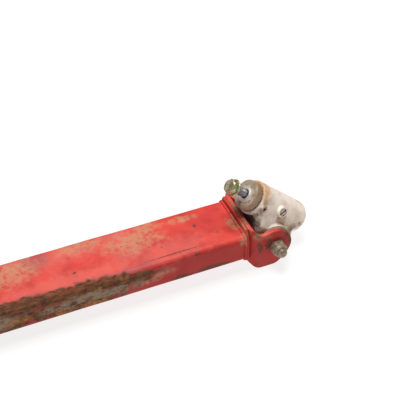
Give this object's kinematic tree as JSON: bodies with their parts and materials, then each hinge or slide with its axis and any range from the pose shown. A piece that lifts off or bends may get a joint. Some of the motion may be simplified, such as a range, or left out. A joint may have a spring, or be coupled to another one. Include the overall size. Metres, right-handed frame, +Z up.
{
  "type": "spreader beam",
  "caption": "Box-section lifting beam with a bolted fork at each end, each holding a tilting knuckle with a swivelling collar and eye bolt shank.",
  "frame": {"origin": "middle of the beam's length and width, on the surface that the fork ears stand on", "axes": "+X along the beam towards the right end, +Z up"},
  "size_m": [1.3576, 0.153, 0.1528],
  "materials": {
    "red_paint": "worn gloss paint over rusting steel",
    "cream_paint": "stained cream paint on a casting",
    "worn_steel": "dull worn steel",
    "yellow_zinc": "dull yellow zinc plating",
    "olive_steel": "dull olive plating",
    "bronze": "machined bronze"
  },
  "bodies": {
    "beam": {"beam_tube": "red_paint", "end_plate_right": "red_paint", "end_weld_right": "red_paint", "fork_right": "red_paint", "clevis_bolt_right": "worn_steel", "clevis_nut_right": "worn_steel", "clevis_washer_right": "worn_steel", "thrust_disc_near_right": "olive_steel", "thrust_disc_far_right": "olive_steel", "end_plate_left": "red_paint", "end_weld_left": "red_paint", "fork_left": "red_paint", "clevis_bolt_left": "worn_steel", "clevis_nut_left": "worn_steel", "clevis_washer_left": "worn_steel", "thrust_disc_near_left": "olive_steel", "thrust_disc_far_left": "olive_steel"},
    "knuckle_right": {"knuckle_casting_right": "cream_paint", "pivot_bush_near_right": "bronze", "pivot_bush_far_right": "bronze", "spindle_bush_front_right": "bronze", "spindle_bush_rear_right": "bronze", "keeper_screw_right": "olive_steel"},
    "swivel_right": {"swivel_spindle_right": "worn_steel", "swivel_washer_right": "yellow_zinc", "swivel_bolt_right": "yellow_zinc"},
    "knuckle_left": {"knuckle_casting_left": "cream_paint", "pivot_bush_near_left": "bronze", "pivot_bush_far_left": "bronze", "spindle_bush_front_left": "bronze", "spindle_bush_rear_left": "bronze", "keeper_screw_left": "olive_steel"},
    "swivel_left": {"swivel_spindle_left": "worn_steel", "swivel_washer_left": "yellow_zinc", "swivel_bolt_left": "yellow_zinc"}
  },
  "joints": [
    {"name": "knuckle_pivot_right", "type": "hinge", "parent": "beam", "child": "knuckle_right", "pos_m": [0.603, 0, 0.039], "axis": [0, 1, 0], "range_deg": [-2, 118]},
    {"name": "swivel_spin_right", "type": "hinge", "parent": "knuckle_right", "child": "swivel_right", "pos_m": [0.62776, 0, 0.0665], "axis": [0.7431, 0, -0.6691], "continuous": true},
    {"name": "knuckle_pivot_left", "type": "hinge", "parent": "beam", "child": "knuckle_left", "pos_m": [-0.603, 0, 0.039], "axis": [0, -1, 0], "range_deg": [-2, 118]},
    {"name": "swivel_spin_left", "type": "hinge", "parent": "knuckle_left", "child": "swivel_left", "pos_m": [-0.62776, 0, 0.0665], "axis": [-0.7431, 0, -0.6691], "continuous": true}
  ]
}
